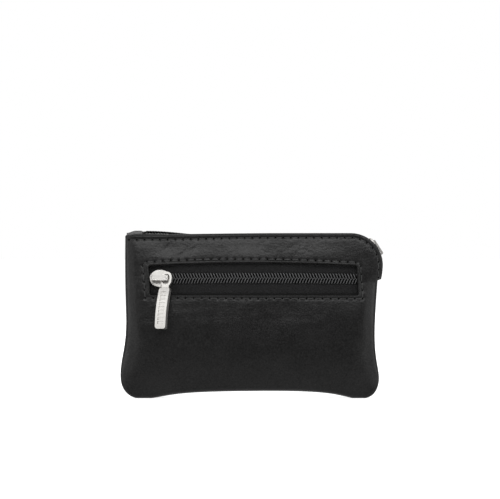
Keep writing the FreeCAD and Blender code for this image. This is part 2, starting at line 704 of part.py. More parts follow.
def write_parts():
    os.makedirs("parts", exist_ok=True)
    whole = FreeCAD.BoundBox()
    for name, shape in build_nodes().items():
        shape = shape.copy()
        shape.translate(Vector(0, SEAM_Y, 0))
        whole.add(shape.BoundBox)
        shape.exportStep("parts/" + name + ".step")
        print(name, "solids", len(shape.Solids), "valid", shape.isValid(), "mm3 %.1f" % shape.Volume)
    print("box", whole)


write_parts()
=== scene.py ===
import math
import random

import bpy
import numpy as np
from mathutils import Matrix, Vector, kdtree
from mathutils.geometry import delaunay_2d_cdt


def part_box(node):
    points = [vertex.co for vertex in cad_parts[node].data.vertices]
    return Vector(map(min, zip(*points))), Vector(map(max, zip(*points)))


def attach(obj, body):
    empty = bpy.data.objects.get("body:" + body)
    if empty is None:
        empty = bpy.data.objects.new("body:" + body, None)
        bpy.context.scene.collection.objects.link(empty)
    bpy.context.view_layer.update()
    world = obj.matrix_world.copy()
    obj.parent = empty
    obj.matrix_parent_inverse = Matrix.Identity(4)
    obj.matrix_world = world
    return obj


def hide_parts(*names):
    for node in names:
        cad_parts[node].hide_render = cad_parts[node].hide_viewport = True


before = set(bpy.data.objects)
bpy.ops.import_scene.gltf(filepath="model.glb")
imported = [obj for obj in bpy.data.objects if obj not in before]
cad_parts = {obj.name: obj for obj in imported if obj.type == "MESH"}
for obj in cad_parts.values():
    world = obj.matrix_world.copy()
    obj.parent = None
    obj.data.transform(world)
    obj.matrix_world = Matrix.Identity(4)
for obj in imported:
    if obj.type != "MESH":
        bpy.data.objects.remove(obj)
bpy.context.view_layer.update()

# The purse's lengths are millimetres in its own frame: the seam plane is y = 0 and the front faces
# -y. They become metres, and move to the frame's seam plane, when a mesh is made. The studio's and
# the materials' are metres.
MM = 0.001
SEAM_CLEARANCE = 0.02
SEAM_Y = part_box("front_panel")[1].y / MM + SEAM_CLEARANCE
TOP_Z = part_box("front_panel")[1].z / MM
BACK_TOP_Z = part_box("back_panel")[1].z / MM
BACK_DROP = TOP_Z - BACK_TOP_Z

LEATHER = 1.2
EDGE_GAP, BELLY_GAP, LEAST_GAP = 1.2, 9.6, 0.2  # half the space inside: at the edges, widest, least
BELLY_Z = 36.0                                  # height where the purse is fullest
MOUTH_FALL, MOUTH_PINCH = 0.56, 1.0             # how far the fullness falls, and closes up, along the top
PINCH_LEFT, PINCH_RIGHT, PINCH_FADE = -62.0, 18.0, 24.0
CORNER_X, CORNER_R = 47.3, 15.36                # the upper right corner that the main zip goes round
CORNER_Z = TOP_Z - CORNER_R
STEP_Z = 57.1                                   # where the main zip ends on the right edge
EAR_SINK = 0.25                                 # the lower corners' flats are cut this far up
SHOULDER_X, SHOULDER_R = -60.6, 1.5             # the upper left corner
TOP_HANG = 0.65                                 # how much lower the top edge hangs at the left

# The panels' edges and relief
SEAM_GAP, SEAM_GROOVE = 0.22, 0.03              # from the seam plane: the sewn edge, and just inside it
RIM = 2.5                                       # width of the sewn rim
FREE_EDGE = 0.55                                # middle of the free edge, above the inner face
FREE_ROUND, SEWN_ROUND, HEM_ROUND = 1.2, 1.3, 0.9
HEM_WIDTH, HEM = 4.5, 1.15                      # the leather turned back round the window
PIT_LONG, PIT_WIDE, PIT_DEPTH = 0.98, 0.62, 0.95
PIT_FLOOR, PIT_WALL = 0.2, 0.32                 # a pit's flat floor and its wall, in hole sizes
ROW_GROOVE = 0.1
LIP = 0.36                                      # the raised lip beside the window
TOP_SWELL = 0.55                                # the doubled strip along the top stands out this much
SOFT_RELIEF, FINE_RELIEF = 0.13, 0.02
TOP_CREASE, FACE_CREASE, FOOT_CREASE = 0.1, 0.07, 0.1

# The front window and its zip, whose frame is u along the zip, v up the tape and w outwards
WINDOW_LOW, WINDOW_HIGH = 50.0, 63.4
WINDOW_R, WINDOW_BOW = 0.6, 1.35
TILT = math.radians(7.5)
FRONT_ZIP_Y, FRONT_ZIP_Z = -5.9, 57.3
FRONT_TAPE_END, FRONT_TAPE_WIDE = 55.0, 12.0
FRONT_COIL_START, FRONT_COIL_END = -50.0, 51.6
CHAIN_BOW, CHAIN_SPAN, CHAIN_DROP = 0.5, 108.0, 0.28  # a cosine: height, half its wave, share it is lowered

# Both zips' tape and coils
TAPE = 0.4
TAPE_INNER = 0.35                               # from the chain's middle to the tape's edge
COIL_PITCH = 1.39
FILAMENT = 0.27
COIL_MIDDLE, COIL_REACH, COIL_LEAN = 1.17, 1.2, 0.3
COIL_W, COIL_LIFT = 0.64, 0.42
FILLER_V, FILLER_W, FILLER_R = 1.3, 0.56, 0.32

MAIN_TAPE_R = 12.06
MAIN_LEFT, MAIN_END_Z = -55.0, 58.5
MAIN_RISE_X, MAIN_RISE_L, MAIN_RISE = -8.0, 42.0, 3.05
MAIN_COIL_START, MAIN_COIL_TAIL = 4.0, 1.8
MAIN_TAPE_DOWN = 5.5                            # how far the tape goes down inside each panel

THREAD_R = 0.25
TOP_PITCH, WINDOW_PITCH = 3.72, 3.84
ROW_INSET = 2.2


# ------------------------------------------------------------------ shape of the filled purse
def smooth_step(t):
    """0 up to t = 0, 1 from t = 1 on, and smooth between."""
    t = np.clip(t, 0.0, 1.0)
    return t * t * (3.0 - 2.0 * t)


def side_reach(x, z):
    """How far out the sewn side is at this height."""
    left = 61.6 + 1.3 * np.exp(-((z - 11.0) / 9.0) ** 2)
    right = 60.8 + 6.5 * smooth_step((z - 55.0) / 8.0)
    return np.where(x < 0.0, left, right)


def half_gap(x, z):
    """Half the distance between the panels' inner faces: the CAD model's, pinched along the top."""
    x, z = np.asarray(x, float), np.asarray(z, float)
    squareness = 6.0 + 12.0 * smooth_step(z / 50.0)
    across = 1.0 - (np.abs(x) / side_reach(x, z)) ** squareness
    lift = np.where(np.abs(x) < 53.0, 3.6 * np.cos(math.pi * x / 106.0) ** 2, 0.0)
    below = 1.0 - (np.maximum(BELLY_Z - z, 0.0) / (BELLY_Z - lift)) ** 3.2
    above = 1.0 - MOUTH_FALL * (np.maximum(z - BELLY_Z, 0.0) / (TOP_Z - BELLY_Z)) ** 1.25
    upright = np.where(z < BELLY_Z, below, above)
    fullness = np.minimum(np.minimum(across, upright), across * upright)
    spread = smooth_step((x - PINCH_LEFT) / PINCH_FADE)
    spread = spread * (1.0 - smooth_step((x - PINCH_RIGHT) / PINCH_FADE))
    pinch = MOUTH_PINCH * smooth_step((z - 64.0) / 15.0) * spread
    return np.maximum(EDGE_GAP + (BELLY_GAP - EDGE_GAP) * fullness, LEAST_GAP) - pinch


# ------------------------------------------------------------------ lines in the XZ plane
SPACING = 0.5   # between a line's points
CHUNK = 2000    # points measured at a time, to keep the arrays small


def steps_along(line):
    """Distance from the line's start to each of its points."""
    return np.concatenate([[0.0], np.cumsum(np.hypot(*np.diff(line, axis=0).T))])


def spline_line(points):
    """Natural cubic spline through the points."""
    p = np.array(points, float)
    chord = steps_along(p)
    n = len(p)
    h = np.diff(chord)
    system, right = np.eye(n), np.zeros((n, 2))
    for i in range(1, n - 1):
        system[i, i - 1:i + 2] = h[i - 1], 2.0 * (h[i - 1] + h[i]), h[i]
        right[i] = 6.0 * ((p[i + 1] - p[i]) / h[i] - (p[i] - p[i - 1]) / h[i - 1])
    bend = np.linalg.solve(system, right)
    out = []
    for s in np.linspace(0.0, chord[-1], int(chord[-1] / SPACING) + 1):
        i = min(np.searchsorted(chord, s, side="right") - 1, n - 2)
        a, b = chord[i + 1] - s, s - chord[i]
        value = (bend[i] * a ** 3 + bend[i + 1] * b ** 3) / (6.0 * h[i])
        value += (p[i] / h[i] - bend[i] * h[i] / 6.0) * a
        value += (p[i + 1] / h[i] - bend[i + 1] * h[i] / 6.0) * b
        out.append(value)
    return np.array(out)


def straight(a, b):
    """Straight line from a to b."""
    n = max(int(math.dist(a, b) / SPACING), 1)
    t = np.linspace(0.0, 1.0, n + 1)[:, None]
    return np.array(a) * (1 - t) + np.array(b) * t


def round_line(centre, radius, start_deg, end_deg):
    """Arc about the centre; 0 degrees is +x and 90 is up."""
    n = max(int(abs(math.radians(end_deg - start_deg)) * radius / SPACING), 4)
    t = np.radians(np.linspace(start_deg, end_deg, n + 1))
    return np.array(centre) + radius * np.stack([np.cos(t), np.sin(t)], 1)


def bowed_line(a, b, sagitta):
    """Shallow arch from a to b."""
    line = straight(a, b)
    t = np.linspace(-1.0, 1.0, len(line))
    line[:, 1] += sagitta * (1.0 - t * t)
    return line


def joined(*parts):
    """Lines end to end, without the points that two of them share."""
    out = [parts[0]]
    for part in parts[1:]:
        out.append(part[1:] if np.allclose(part[0], out[-1][-1], atol=0.02) else part)
    return np.concatenate(out)


def resampled(line, pitch):
    """The line with even steps of about this pitch."""
    step = steps_along(line)
    s = np.linspace(0.0, step[-1], int(round(step[-1] / pitch)) + 1)
    return np.stack([np.interp(s, step, line[:, 0]), np.interp(s, step, line[:, 1])], 1)


def normals_of(line, closed):
    """Unit normals to the left of the line's direction."""
    if closed:
        along = np.roll(line, -1, 0) - np.roll(line, 1, 0)
    else:
        along = np.gradient(line, axis=0)
    along /= np.maximum(np.hypot(along[:, 0], along[:, 1]), 1e-9)[:, None]
    return np.stack([-along[:, 1], along[:, 0]], 1)


def outline(drop):
    """Closed outline of a panel, anticlockwise seen from the front, from its upper left corner."""
    low = -EAR_SINK
    top, radius = TOP_Z - drop, CORNER_R - drop
    side = CORNER_X + radius
    sewn = [(SHOULDER_X, top - SHOULDER_R), (-60.5, 50), (-60.9, 26), (-62.9, 11.5 + low), (-61.6, 5 + low),
            (-57.5, 1 + low), (-52.5, low), (-40, 1.6 + low), (-22, 3.2 + low), (4, 3.7 + low),
            (28, 3.3 + low), (43, 1.5 + low), (53, low), (57.8, 1.6 + low), (61, 7.5 + low),
            (60.2, 17), (59.3, 38), (60.5, 56.5)]
    edge = joined(spline_line(sewn),
                  straight((60.5, 56.5), (side - 0.46, STEP_Z)),
                  straight((side - 0.46, STEP_Z), (side, CORNER_Z)),
                  round_line((CORNER_X, CORNER_Z), radius, 0, 90),
                  straight((CORNER_X, top), (SHOULDER_X + SHOULDER_R, top)),
                  round_line((SHOULDER_X + SHOULDER_R, top - SHOULDER_R), SHOULDER_R, 90, 180))
    edge[:, 1] = np.maximum(edge[:, 1], 0.0)
    return edge[:-1]


def window_line():
    """Closed edge of the front zip's window, anticlockwise from its lower left corner."""
    r, low, high = WINDOW_R, WINDOW_LOW + WINDOW_R, WINDOW_HIGH - WINDOW_R
    return joined(straight((-47.9 + r, WINDOW_LOW), (50.5 - r, WINDOW_LOW)),
                  round_line((50.5 - r, low), r, -90, 2),
                  straight((50.48, 50.65), (49.95, 62.8)),
                  round_line((49.9 - r, high), r, 0, 88),
                  bowed_line((49.3, 63.41), (-48.1, 63.41), WINDOW_BOW),
                  round_line((-48.7 + r, high), r, 92, 180),
                  straight((-48.7, 62.8), (-47.93, 50.6)),
                  round_line((-47.9 + r, low), r, 182, 268))


def top_row(drop):
    """The stitch row along a panel's top edge, round the corner and down to the zip's end."""
    radius = CORNER_R - drop - ROW_INSET
    top = CORNER_Z + radius
    return joined(straight((-58.4, top - 0.5), (0.0, top)), straight((0.0, top), (CORNER_X, top)),
                  round_line((CORNER_X, CORNER_Z), radius, 90, 0),
                  straight((CORNER_X + radius, CORNER_Z), (CORNER_X + radius, 58.0)))


def window_row():
    """The stitch row round the window, from its lower left corner and back to it."""
    return joined(straight((-50.5, 48.3), (52.8, 48.0)), straight((52.8, 48.0), (51.8, 65.0)),
                  bowed_line((51.8, 65.0), (-51.9, 65.4), 1.5),
                  straight((-51.9, 65.4), (-50.5, 48.3)))


def top_sag(x, z):
    """How far the leather's top edge hangs at a place: most at its left end."""
    return -TOP_HANG * (1.0 - smooth_step((x + 60.0) / 75.0)) * smooth_step((z - 66.0) / 12.0)


def distance_to(points, line, closed=False):
    """Distance from each point to a polyline."""
    a = line
    b = np.roll(line, -1, 0) if closed else line[1:]
    a = a if closed else line[:-1]
    out = np.empty(len(points))
    d = b - a
    length2 = np.maximum((d * d).sum(1), 1e-12)
    for i in range(0, len(points), CHUNK):
        p = points[i:i + CHUNK, None, :] - a[None]
        t = np.clip((p * d[None]).sum(2) / length2, 0.0, 1.0)
        out[i:i + CHUNK] = np.hypot(*(p - t[..., None] * d[None]).transpose(2, 0, 1)).min(1)
    return out


def inside(points, line):
    """True for points inside a closed polyline."""
    x0, z0 = line.T
    x1, z1 = np.roll(line, -1, 0).T
    out = np.zeros(len(points), bool)
    for i in range(0, len(points), CHUNK):
        px, pz = points[i:i + CHUNK, 0:1], points[i:i + CHUNK, 1:2]
        spans = (z0 > pz) != (z1 > pz)
        reach = (x1 - x0) * (pz - z0) / np.where(z1 == z0, 1e-9, z1 - z0) + x0
        out[i:i + CHUNK] = (spans & (px < reach)).sum(1) % 2 == 1
    return out


# ------------------------------------------------------------------ meshes
def mesh_object(name, points, faces, material, stands_for):
    """A piece of the purse body from points in millimetres, shown in place of a CAD node."""
    place = np.asarray(points, float) + np.array([0.0, SEAM_Y, 0.0])
    mesh = bpy.data.meshes.new(name)
    mesh.from_pydata((place * MM).tolist(), [], [tuple(int(i) for i in f) for f in faces])
    mesh.polygons.foreach_set("use_smooth", [True] * len(mesh.polygons))
    mesh.materials.append(material)
    mesh.update()
    piece = bpy.data.objects.new(name, mesh)
    bpy.context.scene.collection.objects.link(piece)
    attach(piece, "purse")
    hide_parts(stands_for)
    return piece


def paint(piece, name, values):
    """A value at every point, which the piece's material reads by name."""
    layer = piece.data.attributes.new(name, "FLOAT", "POINT")
    layer.data.foreach_set("value", values)


def tube(path, radius, sides, side_hint):
    """Points and faces of a closed tube along an open path; radius may vary along it."""
    path = np.asarray(path, float)
    n = len(path)
    radius = np.broadcast_to(radius, (n,))
    along = np.gradient(path, axis=0)
    along /= np.linalg.norm(along, axis=1)[:, None]
    first = np.cross(along, side_hint)
    first /= np.maximum(np.linalg.norm(first, axis=1), 1e-9)[:, None]
    second = np.cross(along, first)
    angle = np.linspace(0.0, 2.0 * math.pi, sides, endpoint=False)
    ring = first[:, None] * np.cos(angle)[None, :, None]
    ring = ring + second[:, None] * np.sin(angle)[None, :, None]
    points = (path[:, None] + ring * radius[:, None, None]).reshape(-1, 3)
    faces = []
    for i in range(n - 1):
        for j in range(sides):
            k = (j + 1) % sides
            faces.append((i * sides + j, i * sides + k, (i + 1) * sides + k, (i + 1) * sides + j))
    faces.append(tuple(range(sides - 1, -1, -1)))
    faces.append(tuple(range((n - 1) * sides, n * sides)))
    return points, faces


def merged(parts):
    """Several (points, faces) as one."""
    points, faces, start = [], [], 0
    for p, f in parts:
        points.append(p)
        faces += [tuple(i + start for i in face) for face in f]
        start += len(p)
    return np.concatenate(points), faces


def between(upper, lower):
    """Closed sheet between two grids of points, each (rows, columns, 3)."""
    rows, columns = upper.shape[:2]
    count = rows * columns
    faces = []
    for i in range(rows - 1):
        for j in range(columns - 1):
            a = i * columns + j
            quad = (a, a + columns, a + columns + 1, a + 1)
            faces.append(quad)
            faces.append(tuple(q + count for q in reversed(quad)))
    border = [(0, j) for j in range(columns)] + [(i, columns - 1) for i in range(1, rows)]
    border += [(rows - 1, j) for j in range(columns - 2, -1, -1)]
    border += [(i, 0) for i in range(rows - 2, 0, -1)]
    ring = [i * columns + j for i, j in border]
    for a, b in zip(ring, ring[1:] + ring[:1]):
        faces.append((a, b, b + count, a + count))
    return np.concatenate([upper.reshape(-1, 3), lower.reshape(-1, 3)]), faces


def slab(grid, thickness):
    """Closed sheet over a grid of points, thickened along its normals."""
    normal = np.cross(np.gradient(grid, axis=0), np.gradient(grid, axis=1))
    normal /= np.maximum(np.linalg.norm(normal, axis=2), 1e-9)[..., None]
    return between(grid, grid - normal * thickness)


# ------------------------------------------------------------------ materials
def new_material(name):
    """A new material, its nodes and links, its shader, and the place on the piece in metres."""
    material = bpy.data.materials.new(name)
    material.use_nodes = True
    nodes, links = material.node_tree.nodes, material.node_tree.links
    shader = nodes["Principled BSDF"]
    place = nodes.new("ShaderNodeTexCoord")
    return material, nodes, links, shader, place.outputs["Object"]


def noise_node(nodes, links, place, scale, detail=3.0, roughness=0.5):
    """Cloudy noise; scale is about the number of blotches in a metre."""
    node = nodes.new("ShaderNodeTexNoise")
    node.inputs["Scale"].default_value = scale
    node.inputs["Detail"].default_value = detail
    node.inputs["Roughness"].default_value = roughness
    links.new(place, node.inputs["Vector"])
    return node.outputs["Fac"]


def ranged(nodes, links, value, low, high, from_low=0.0, from_high=1.0):
    """A value of one range mapped onto another."""
    node = nodes.new("ShaderNodeMapRange")
    node.inputs["From Min"].default_value = from_low
    node.inputs["From Max"].default_value = from_high
    node.inputs["To Min"].default_value = low
    node.inputs["To Max"].default_value = high
    links.new(value, node.inputs["Value"])
    return node.outputs["Result"]


def ramp(nodes, links, value, dark, light):
    """From the dark colour to the light one over the middle of the value's range."""
    node = nodes.new("ShaderNodeValToRGB")
    node.color_ramp.elements[0].position = 0.3
    node.color_ramp.elements[1].position = 0.7
    node.color_ramp.elements[0].color = (*dark, 1.0)
    node.color_ramp.elements[1].color = (*light, 1.0)
    links.new(value, node.inputs["Fac"])
    return node.outputs["Color"]


def bump_node(nodes, links, height, distance, strength, before=None):
    """Relief of this depth in metres, on top of an earlier one."""
    node = nodes.new("ShaderNodeBump")
    node.inputs["Distance"].default_value = distance
    node.inputs["Strength"].default_value = strength
    links.new(height, node.inputs["Height"])
    if before is not None:
        links.new(before, node.inputs["Normal"])
    return node.outputs["Normal"]


def math_node(nodes, links, operation, a, b):
    """One sum; a and b are numbers or outputs of other nodes."""
    node = nodes.new("ShaderNodeMath")
    node.operation = operation
    for socket, value in zip(node.inputs, (a, b)):
        if isinstance(value, (int, float)):
            socket.default_value = value
        else:
            links.new(value, socket)
    return node.outputs["Value"]


def leather_material(name, dark, light):
    """Smooth calf: fine pebble grain, pores, slow changes of gloss and colour, dull stitch pits."""
    material, nodes, links, shader, place = new_material(name)
    pit = nodes.new("ShaderNodeAttribute")
    pit.attribute_name = "pit"
    links.new(ranged(nodes, links, pit.outputs["Fac"], 0.25, 0.0), shader.inputs["Specular IOR Level"])
    cloud = noise_node(nodes, links, place, 60.0, 4.0)
    speck = noise_node(nodes, links, place, 1500.0, 2.0, 0.6)
    tone = math_node(nodes, links, "ADD", math_node(nodes, links, "MULTIPLY", cloud, 0.25),
                     math_node(nodes, links, "MULTIPLY", speck, 0.75))
    links.new(ramp(nodes, links, tone, dark, light), shader.inputs["Base Color"])
    gloss = noise_node(nodes, links, place, 240.0, 5.0, 0.6)
    links.new(ranged(nodes, links, gloss, 0.27, 0.39, 0.3, 0.7), shader.inputs["Roughness"])
    cells = nodes.new("ShaderNodeTexVoronoi")
    cells.feature = "SMOOTH_F1"
    cells.inputs["Scale"].default_value = 900.0
    cells.inputs["Smoothness"].default_value = 0.5
    links.new(place, cells.inputs["Vector"])
    stretch = nodes.new("ShaderNodeMapping")
    stretch.inputs["Scale"].default_value = (0.3, 1.0, 1.0)
    links.new(place, stretch.inputs["Vector"])
    wrinkles = noise_node(nodes, links, stretch.outputs["Vector"], 700.0, 4.0, 0.6)
    pores = noise_node(nodes, links, place, 1700.0, 3.0, 0.6)
    slow = noise_node(nodes, links, place, 300.0, 3.0)
    normal = bump_node(nodes, links, slow, 0.0004, 0.15)
    normal = bump_node(nodes, links, wrinkles, 0.0003, 0.22, normal)
    normal = bump_node(nodes, links, cells.outputs["Distance"], 0.0002, 0.25, normal)
    normal = bump_node(nodes, links, pores, 0.00015, 0.3, normal)
    links.new(normal, shader.inputs["Normal"])
    return material


def weave_material(name, dark, light, period_x, period_z, depth):
    """Woven cloth: ribs in the purse's own axes, their periods in millimetres, slubs and a little fuzz."""
    material, nodes, links, shader, place = new_material(name)
    shader.inputs["Specular IOR Level"].default_value = 0.2
    shader.inputs["Sheen Weight"].default_value = 0.08
    shader.inputs["Sheen Roughness"].default_value = 0.5
    split = nodes.new("ShaderNodeSeparateXYZ")
    links.new(place, split.inputs["Vector"])
    turn = 2.0 * math.pi / MM
    across = math_node(nodes, links, "MULTIPLY", split.outputs["X"], turn / period_x)
    height = math_node(nodes, links, "ADD", split.outputs["Z"], split.outputs["Y"])
    up = math_node(nodes, links, "MULTIPLY", height, turn / period_z)
    twill = math_node(nodes, links, "ADD", across, math_node(nodes, links, "MULTIPLY", up, 0.5))
    warp = math_node(nodes, links, "SINE", twill, 0.0)
    weft = math_node(nodes, links, "SINE", up, 0.0)
    cloth = math_node(nodes, links, "MULTIPLY", warp, weft)
    slub = noise_node(nodes, links, place, 900.0, 3.0)
    mixed = math_node(nodes, links, "ADD", math_node(nodes, links, "MULTIPLY", cloth, 0.5), slub)
    links.new(ramp(nodes, links, mixed, dark, light), shader.inputs["Base Color"])
    links.new(ranged(nodes, links, slub, 0.75, 0.95), shader.inputs["Roughness"])
    links.new(bump_node(nodes, links, mixed, depth, 0.6), shader.inputs["Normal"])
    return material


def nylon_material(name):
    """Extruded nylon filament, satin: painted light makes it lighter and glossier where a filament faces
    outwards, and painted shade leaves the rest near black.
    """
    material, nodes, links, shader, place = new_material(name)
    grain = noise_node(nodes, links, place, 1400.0, 3.0)
    painted_light = nodes.new("ShaderNodeAttribute")
    painted_light.attribute_name = "painted_light"
    # Painted light: the painted share raises both the gloss and the colour, from near black to dark grey.
    links.new(ranged(nodes, links, painted_light.outputs["Fac"], 0.04, 0.5), shader.inputs["Specular IOR Level"])
    grained = math_node(nodes, links, "MULTIPLY", grain, 0.15)
    share = math_node(nodes, links, "ADD", grained, painted_light.outputs["Fac"])
    links.new(ramp(nodes, links, share, (0.0012, 0.0012, 0.0012), (0.045, 0.045, 0.0465)),
              shader.inputs["Base Color"])
    links.new(ranged(nodes, links, grain, 0.38, 0.5), shader.inputs["Roughness"])
    links.new(bump_node(nodes, links, grain, 0.00003, 0.3), shader.inputs["Normal"])
    return material


def thread_material(name):
    """Bonded sewing thread with its twist."""
    material, nodes, links, shader, place = new_material(name)
    shader.inputs["Specular IOR Level"].default_value = 0.35
    twist = nodes.new("ShaderNodeTexWave")
    twist.bands_direction = "DIAGONAL"
    twist.inputs["Scale"].default_value = 900.0
    twist.inputs["Distortion"].default_value = 0.6
    links.new(place, twist.inputs["Vector"])
    links.new(ramp(nodes, links, twist.outputs["Fac"], (0.014, 0.014, 0.014), (0.034, 0.034, 0.034)),
              shader.inputs["Base Color"])
    links.new(ranged(nodes, links, twist.outputs["Fac"], 0.45, 0.65), shader.inputs["Roughness"])
    links.new(bump_node(nodes, links, twist.outputs["Fac"], 0.00006, 0.6), shader.inputs["Normal"])
    return material


def metal_material(name, dark, light, low_rough, high_rough):
    """Bright or dark metal with painted shade in its corners, soft blotches worn by handling, and hairline
    scratches.
    """
    material, nodes, links, shader, place = new_material(name)
    shader.inputs["Metallic"].default_value = 1.0
    lightness = noise_node(nodes, links, place, 500.0, 5.0, 0.6)
    # Painted shade: ambient occlusion blends the colour towards dark brown in corners and crevices, where
    # shade falls.
    corners = nodes.new("ShaderNodeAmbientOcclusion")
    corners.samples = 8
    corners.inputs["Distance"].default_value = 0.001
    open_share = ranged(nodes, links, corners.outputs["AO"], 0.0, 1.0, 0.2, 0.7)
    corner_shade = nodes.new("ShaderNodeMix")
    corner_shade.data_type = "RGBA"
    corner_shade.inputs["A"].default_value = (0.07, 0.05, 0.038, 1.0)
    links.new(open_share, corner_shade.inputs["Factor"])
    links.new(ramp(nodes, links, lightness, dark, light), corner_shade.inputs["B"])
    links.new(corner_shade.outputs["Result"], shader.inputs["Base Color"])
    stretch = nodes.new("ShaderNodeMapping")
    stretch.inputs["Scale"].default_value = (6.0, 6.0, 0.7)
    links.new(place, stretch.inputs["Vector"])
    hairs = noise_node(nodes, links, stretch.outputs["Vector"], 900.0, 4.0, 0.7)
    links.new(ranged(nodes, links, hairs, low_rough, high_rough, 0.3, 0.7), shader.inputs["Roughness"])
    normal = bump_node(nodes, links, lightness, 0.00006, 0.25)
    links.new(bump_node(nodes, links, hairs, 0.00002, 0.2, normal), shader.inputs["Normal"])
    return material


LEATHER_SKIN = leather_material("black_leather", (0.0012, 0.0012, 0.0012), (0.0125, 0.0123, 0.0123))
# The tab is black leather like the panels. Its grey colour is painted light, for the light from above on
# its top.
LIT_TAB_SKIN = leather_material("painted_lit_leather_tab", (0.06, 0.06, 0.06), (0.09, 0.09, 0.09))
TAPE_CLOTH = weave_material("zip_tape_weave", (0.0036, 0.0036, 0.0037), (0.0125, 0.0125, 0.0128),
                            0.5, 0.42, 0.00018)
LINING_CLOTH = weave_material("lining_weave", (0.012, 0.012, 0.013), (0.028, 0.028, 0.03),
                              0.35, 0.35, 0.0001)
NYLON = nylon_material("nylon_coil")
THREAD = thread_material("sewing_thread")
NICKEL = metal_material("nickel_plate", (0.62, 0.605, 0.58), (0.7, 0.685, 0.66), 0.32, 0.44)
BLACK_METAL = metal_material("black_enamel_metal", (0.02, 0.02, 0.02), (0.04, 0.04, 0.04), 0.35, 0.5)
SPRING_STEEL = metal_material("spring_steel", (0.45, 0.45, 0.46), (0.6, 0.6, 0.61), 0.25, 0.4)


# ------------------------------------------------------------------ leather panels
def soft_noise(points, seed, count, short, long, flatten):
    """Smooth random relief of about unit height; flatten stretches it sideways."""
    draw = random.Random(seed)
    total = np.zeros(len(points))
    for _ in range(count):
        angle = draw.uniform(0.0, math.pi)
        wave = 2.0 * math.pi / draw.uniform(short, long)
        kx, kz = math.cos(angle) * wave / flatten, math.sin(angle) * wave
        total += np.cos(points[:, 0] * kx + points[:, 1] * kz + draw.uniform(0.0, 6.283))
    return total * math.sqrt(2.0 / count)


def creases(points, seed, count, area, slope, depth):
    """Short soft folds: thin valleys at random places in an area (x0, x1, z0, z1)."""
    draw = random.Random(seed)
    total = np.zeros(len(points))
    for _ in range(count):
        cx, cz = draw.uniform(area[0], area[1]), draw.uniform(area[2], area[3])
        angle = math.radians(draw.uniform(*slope))
        length, width = draw.uniform(5.0, 13.0), draw.uniform(0.6, 1.3)
        dx, dz = points[:, 0] - cx, points[:, 1] - cz
        along = dx * math.cos(angle) + dz * math.sin(angle)
        across = -dx * math.sin(angle) + dz * math.cos(angle) + 0.03 * along ** 2 / length
        total -= np.exp(-(along / length) ** 2 - (across / width) ** 2) * draw.uniform(0.5, 1.0)
    return total * depth


def sewn_share(points):
    """1 where the panel's edge is sewn to the other panel, 0 along the zip."""
    x, z = points.T
    side = np.where(x > 0.0, smooth_step((59.0 - z) / 3.6), 1.0)
    shoulder = smooth_step((-x - 57.6) / 1.6) * smooth_step((TOP_Z - 0.4 - z) / 1.5)
    return np.where(x > 0.0, side, np.where(z < 55.0, 1.0, shoulder))


def edge_round(d, radius):
    """Quarter-round: 0 at the very edge, 1 from radius inwards."""
    t = np.clip(d / radius, 0.0, 1.0)
    return np.sqrt(np.clip(1.0 - (1.0 - t) ** 2, 0.0, 1.0))


